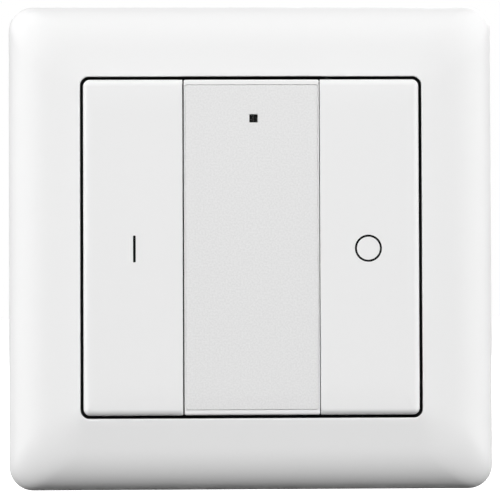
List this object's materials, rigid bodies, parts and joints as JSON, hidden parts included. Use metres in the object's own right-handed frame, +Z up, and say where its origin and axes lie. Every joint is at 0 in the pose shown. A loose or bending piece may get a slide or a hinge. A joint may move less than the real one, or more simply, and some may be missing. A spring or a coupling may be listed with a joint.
{
  "type": "wireless wall switch",
  "caption": "Square battery-powered wall switch: a domed cover frame round two hinged rocker keys and a fixed centre bar, on a flat wall bracket.",
  "frame": {"origin": "middle of the flat back face of the wall bracket, on the wall", "axes": "+X to the right as the viewer sees it, +Y into the wall, +Z up"},
  "size_m": [0.0804, 0.0112, 0.0804],
  "materials": {
    "frame_white": "satin white moulding",
    "key_white": "satin white moulding",
    "inlay_grain": "finely spark-textured white",
    "mark_ink": "dark grey moulded mark",
    "guide_smoke": "smoked clear plastic",
    "case_black": "fine textured black moulding",
    "case_grey": "fine textured grey moulding",
    "bracket_grey": "fine textured grey moulding",
    "tape_foam": "dark foam tape",
    "screw_steel": "zinc plated",
    "cell_steel": "nickel plated can",
    "contact_spring": "nickel plated spring strip",
    "board_green": "solder mask",
    "shield_tin": "tinned can",
    "chip_black": "moulded epoxy",
    "capacitor_tan": "ceramic",
    "led_clear": "clear cast resin",
    "switch_black": "moulded",
    "dome_steel": "spring steel",
    "plunger_white": "moulded"
  },
  "bodies": {
    "root": {"cover_frame": "frame_white", "wall_bracket": "bracket_grey", "adhesive_pads": "tape_foam", "rear_case": "case_grey", "case_screws": "screw_steel", "coin_cell": "cell_steel", "cell_contact_minus": "contact_spring", "cell_contact_plus": "contact_spring", "circuit_board": "board_green", "radio_module": "shield_tin", "control_chip": "chip_black", "timing_crystal": "shield_tin", "board_capacitors": "capacitor_tan", "status_led": "led_clear", "light_pipe": "guide_smoke", "front_case": "case_black", "centre_panel": "key_white", "centre_inlay": "inlay_grain", "on_switch_base": "switch_black", "on_switch_cover": "dome_steel", "on_switch_dome": "dome_steel", "off_switch_base": "switch_black", "off_switch_cover": "dome_steel", "off_switch_dome": "dome_steel"},
    "on_key": {"on_key": "key_white", "on_mark": "mark_ink"},
    "off_key": {"off_key": "key_white", "off_mark": "mark_ink"},
    "on_plunger": {"on_plunger": "plunger_white"},
    "off_plunger": {"off_plunger": "plunger_white"},
    "battery_door": {"battery_door": "case_grey"}
  },
  "joints": [
    {"name": "on_key_press", "type": "hinge", "parent": "root", "child": "on_key", "pos_m": [-0.01316, -0.0093, 0], "axis": [0, 0, -1], "range_deg": [0, 2.5], "stiffness_Nm_per_rad": 0.15},
    {"name": "on_plunger_travel", "type": "slide", "parent": "root", "child": "on_plunger", "axis": [0, 1, 0], "range_m": [0, 0.00028], "deforming": ["on_switch_dome"]},
    {"name": "off_key_press", "type": "hinge", "parent": "root", "child": "off_key", "pos_m": [0.01316, -0.0093, 0], "axis": [0, 0, 1], "range_deg": [0, 2.5], "stiffness_Nm_per_rad": 0.15},
    {"name": "off_plunger_travel", "type": "slide", "parent": "root", "child": "off_plunger", "axis": [0, 1, 0], "range_m": [0, 0.00028], "deforming": ["off_switch_dome"]},
    {"name": "battery_door_turn", "type": "hinge", "parent": "root", "child": "battery_door", "pos_m": [0, -0.001, 0], "axis": [0, 1, 0], "range_deg": [0, 40]}
  ],
  "couplings": [
    {"joint": "on_plunger_travel", "follows": "on_key_press", "m_per_rad": 0.0062},
    {"joint": "off_plunger_travel", "follows": "off_key_press", "m_per_rad": 0.0062}
  ]
}
